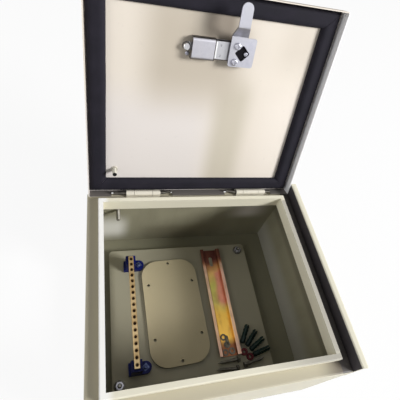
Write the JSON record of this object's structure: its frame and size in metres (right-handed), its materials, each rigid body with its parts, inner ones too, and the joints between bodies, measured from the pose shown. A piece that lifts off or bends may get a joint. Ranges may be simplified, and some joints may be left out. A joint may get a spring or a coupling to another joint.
{
  "type": "roadside utility cabinet",
  "caption": "Small painted steel utility cabinet for a wall or pole, with a gasketed hinged door, cam lock, cable gland opening, rain eave, mounting plate and earth bar.",
  "frame": {"origin": "centre of the rear face, which fixes to a wall or lies on the floor", "axes": "+Z is the cabinet's front, +X its mounted top with the rain eave, +Y its hinge side"},
  "size_m": [0.33, 0.3766, 0.4101],
  "materials": {
    "cabinet_paint": "satin powder coat, cream",
    "eave_paint": "satin powder coat, cream",
    "door_paint": "satin powder coat, cream",
    "plate_zinc": "satin powder coat, cream in shade",
    "zinc": "bright zinc plate",
    "hinge_paint": "powder coat, cream",
    "bright_steel": "plain steel",
    "foam_rubber": "matt black foam",
    "grey_foam": "matt foam",
    "gland_paint": "satin powder coat, cream",
    "brass": "drawn",
    "nickel_brass": "turned",
    "blue_plastic": "moulded",
    "yellow_passivated": "yellow passivated zinc",
    "green_plastic": "moulded",
    "red_fibre": "matt",
    "black_paint": "matt black powder coat",
    "lock_chrome": "satin chrome on die-casting",
    "button_chrome": "satin"
  },
  "bodies": {
    "cabinet": {"cabinet_shell": "cabinet_paint", "back_panel": "cabinet_paint", "rain_eave": "eave_paint", "mounting_plate": "plate_zinc", "plate_studs": "zinc", "plate_spacers": "zinc", "plate_washers": "zinc", "plate_nuts": "zinc", "body_earth_stud": "zinc", "insulator_screws": "zinc", "fixing_screws": "zinc", "fixing_washers": "zinc", "lower_hinge_fixed_leaf": "hinge_paint", "upper_hinge_fixed_leaf": "hinge_paint", "lower_hinge_pin": "bright_steel", "upper_hinge_pin": "bright_steel", "gland_plate_gasket": "grey_foam", "gland_plate": "gland_paint", "earth_bar": "brass", "terminal_screws": "nickel_brass", "lower_insulator": "blue_plastic", "upper_insulator": "blue_plastic", "mounting_rail": "yellow_passivated", "wall_plugs": "green_plastic", "seal_washers": "red_fibre"},
    "door": {"door_pan": "door_paint", "door_gasket": "foam_rubber", "door_earth_stud": "zinc", "lock_housing": "lock_chrome", "lock_clamp": "zinc", "clamp_screw": "zinc", "lower_hinge_door_leaf": "hinge_paint", "upper_hinge_door_leaf": "hinge_paint"},
    "latch": {"spindle": "bright_steel", "lock_hub": "black_paint", "lock_cam": "zinc", "cam_screws": "zinc", "handle_pin": "bright_steel"},
    "handle": {"handle": "lock_chrome"},
    "button": {"push_button": "button_chrome"}
  },
  "joints": [
    {"name": "door_hinge", "type": "hinge", "parent": "cabinet", "child": "door", "pos_m": [0, 0.135, 0.1505], "axis": [1, 0, 0], "range_deg": [0, 109]},
    {"name": "latch_turn", "type": "hinge", "parent": "door", "child": "latch", "pos_m": [0.0285, 0.21566, 0.34483], "axis": [0, 0.9455, -0.3256], "range_deg": [0, 90]},
    {"name": "handle_tilt", "type": "hinge", "parent": "latch", "child": "handle", "pos_m": [0.0285, 0.22653, 0.34108], "axis": [0, -0.3256, -0.9455], "range_deg": [0, 45]},
    {"name": "button_push", "type": "slide", "parent": "door", "child": "button", "axis": [0, -0.9455, 0.3256], "range_m": [0, 0.003], "stiffness_N_per_m": 800}
  ]
}
